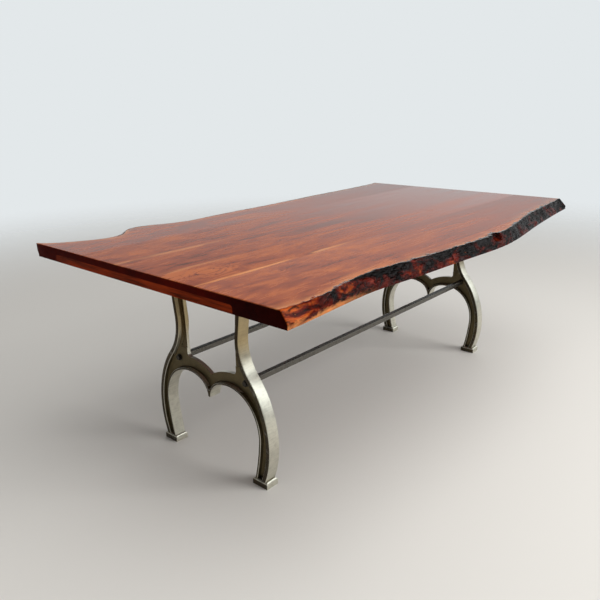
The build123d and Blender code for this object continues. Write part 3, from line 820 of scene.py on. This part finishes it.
def live_edge_board(node, name, side, slab, finishes):
    """Board with a live edge, drawn as a fine sheet laid on the solid's edge, roughened and closed."""
    low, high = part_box(node)
    joint = high.y if side < 0 else low.y
    piece = edge_sheet(node, name, side, slab.edge_cells)
    roughen_edge(piece, node, side, slab.bark_relief)
    if side < 0:
        chip_arris(piece, high.z)
    close_sheet(piece, node, side, joint, slab.edge_cells)
    square_ends(piece, node, joint, slab.arris)
    for batten in BATTENS:
        seat = merged_copy(NODES[batten], "seat")
        only(piece)
        cut = piece.modifiers.new("seat", "BOOLEAN")
        cut.operation = "DIFFERENCE"
        cut.solver = "EXACT"
        cut.object = seat
        bpy.ops.object.modifier_apply(modifier=cut.name)
        bpy.data.objects.remove(seat)
    smooth(piece, degrees=42)
    finish_board(piece, node, finishes)


class SLABTABLE_OT_stage(bpy.types.Operator):
    """Floor, backdrop, soft lights and camera"""
    bl_idname = "slab_table.stage"
    bl_label = "Stage"

    def execute(self, context):
        stage = context.scene.slab_table.stage
        context.scene.view_settings.view_transform = "Standard"
        bpy.ops.object.select_all(action="DESELECT")
        bpy.ops.mesh.primitive_circle_add(vertices=128, radius=stage.floor_radius, fill_type="NGON")
        floor = context.object
        floor.name = "floor"
        floor.data.materials.append(plain_floor(stage))
        context.scene.world = studio_world(stage)

        lit_point = Vector((0, 0, 0.5))
        for name, place, size, power in (
                ("window", (2.1, -5.2, 2.9), 3.4, stage.window_power),
                ("ceiling", (-0.4, -1.1, 3.1), 2.6, stage.ceiling_power)):
            bpy.ops.object.light_add(type="AREA", location=place)
            lamp = context.object
            lamp.name = name
            lamp.data.shape = "SQUARE"
            lamp.data.size = size
            lamp.data.energy = power
            # Its mirror image would burn out on the varnish, so the world holds a dimmer one
            lamp.visible_glossy = False
            lamp.rotation_euler = (lit_point - Vector(place)).to_track_quat("-Z", "Y").to_euler()

        bpy.ops.object.camera_add(location=stage.camera_place)
        camera = context.object
        heading, dip, roll = stage.camera_turn
        ahead = Vector((
            math.cos(heading) * math.cos(dip), math.sin(heading) * math.cos(dip), -math.sin(dip)))
        right = Vector((math.sin(heading), -math.cos(heading), 0.0))
        above = right.cross(ahead)
        turned = Matrix((
            math.cos(roll) * right + math.sin(roll) * above,
            math.cos(roll) * above - math.sin(roll) * right,
            -ahead)).transposed()
        camera.rotation_euler = turned.to_euler()
        camera.data.sensor_width = 36.0
        camera.data.lens = stage.lens
        context.scene.camera = camera
        return {"FINISHED"}


class SLABTABLE_OT_boards(bpy.types.Operator):
    """Five edge-glued boards of the slab, the two outer ones with a live edge"""
    bl_idname = "slab_table.boards"
    bl_label = "Slab boards"

    def execute(self, context):
        slab = context.scene.slab_table.slab
        # The varnish lies level on the boards, and soaks into the bark
        timber = varnished_timber(slab, "varnished_hardwood", specular=0.45)
        bark = varnished_timber(slab, "varnished_bark", specular=0.07)
        ends = sealed_end_grain(slab)
        live_edge_board("near_edge_board", "near_live_board", -1, slab, (timber, ends, bark))
        live_edge_board("far_edge_board", "far_live_board", 1, slab, (timber, ends, bark))
        for node in INNER_BOARDS:
            piece = merged_copy(NODES[node], node.replace("_board", "_plank"))
            smooth(piece, degrees=35)
            finish_board(piece, node, (timber, ends))
        return {"FINISHED"}


class SLABTABLE_OT_battens(bpy.types.Operator):
    """Cross battens let into the underside at both ends"""
    bl_idname = "slab_table.battens"
    bl_label = "End battens"

    def execute(self, context):
        dress(BATTENS, batten_timber(context.scene.slab_table.slab))
        return {"FINISHED"}


class SLABTABLE_OT_castings(bpy.types.Operator):
    """Cast-iron end frames with their rims, webs, pads and palms"""
    bl_idname = "slab_table.castings"
    bl_label = "Cast end frames"

    def execute(self, context):
        iron = burnished_iron(context.scene.slab_table.metal)
        for node in CASTINGS:
            piece = merged_copy(NODES[node], node.replace("_frame", "_casting"))
            smooth(piece, degrees=50)
            weigh = piece.modifiers.new("even faces", "WEIGHTED_NORMAL")
            weigh.keep_sharp = True
            bpy.ops.object.modifier_apply(modifier=weigh.name)
            mark_recesses(piece)
            piece.data.materials.append(iron)
            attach(piece, "root")
            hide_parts(node)
        return {"FINISHED"}


class SLABTABLE_OT_stretchers(bpy.types.Operator):
    """Square steel tubes between the frames, with the plugs in their ends"""
    bl_idname = "slab_table.stretchers"
    bl_label = "Stretchers"

    def execute(self, context):
        metal = context.scene.slab_table.metal
        tube = drawn_steel(
            "blackened_drawn_steel", metal.stretcher, roughness=0.28, mottle=0.14, metallic=0.92)
        plug = drawn_steel("turned_plug_steel", metal.zinc, roughness=0.35, mottle=0.10, metallic=1.0)
        dress(STRETCHERS, tube)
        dress(PLUGS, plug)
        return {"FINISHED"}


class SLABTABLE_OT_fixings(bpy.types.Operator):
    """Bolts, screws and washers"""
    bl_idname = "slab_table.fixings"
    bl_label = "Fixings"

    def execute(self, context):
        metal = context.scene.slab_table.metal
        oxide = drawn_steel("black_oxide_steel", metal.bolt, roughness=0.40, mottle=0.15, metallic=0.8)
        zinc = drawn_steel("zinc_plated_steel", metal.zinc, roughness=0.32, mottle=0.10, metallic=1.0)
        dress(BOLTS, oxide)
        dress(SCREWS, zinc)
        return {"FINISHED"}


class SLABTABLE_PT_sidebar(bpy.types.Panel):
    """Lists the pieces of the table"""
    bl_label = "Slab Table"
    bl_idname = "SLABTABLE_PT_sidebar"
    bl_space_type = "VIEW_3D"
    bl_region_type = "UI"
    bl_category = "Slab Table"

    def draw(self, context):
        table = context.scene.slab_table
        for group in (table.slab, table.metal, table.stage):
            box = self.layout.box()
            for name in group.__annotations__:
                box.prop(group, name)
        for operator in PIECES:
            self.layout.operator(operator.bl_idname)


PIECES = (
    SLABTABLE_OT_stage,
    SLABTABLE_OT_boards,
    SLABTABLE_OT_battens,
    SLABTABLE_OT_castings,
    SLABTABLE_OT_stretchers,
    SLABTABLE_OT_fixings,
)
CLASSES = (SlabSettings, MetalSettings, StageSettings, TableSettings, *PIECES, SLABTABLE_PT_sidebar)


def register():
    for cls in CLASSES:
        bpy.utils.register_class(cls)
    bpy.types.Scene.slab_table = PointerProperty(type=TableSettings)


def unregister():
    del bpy.types.Scene.slab_table
    for cls in reversed(CLASSES):
        bpy.utils.unregister_class(cls)


def main():
    register()
    bpy.ops.slab_table.stage()
    bpy.ops.slab_table.boards()
    bpy.ops.slab_table.battens()
    bpy.ops.slab_table.castings()
    bpy.ops.slab_table.stretchers()
    bpy.ops.slab_table.fixings()


if __name__ == "__main__":
    main()
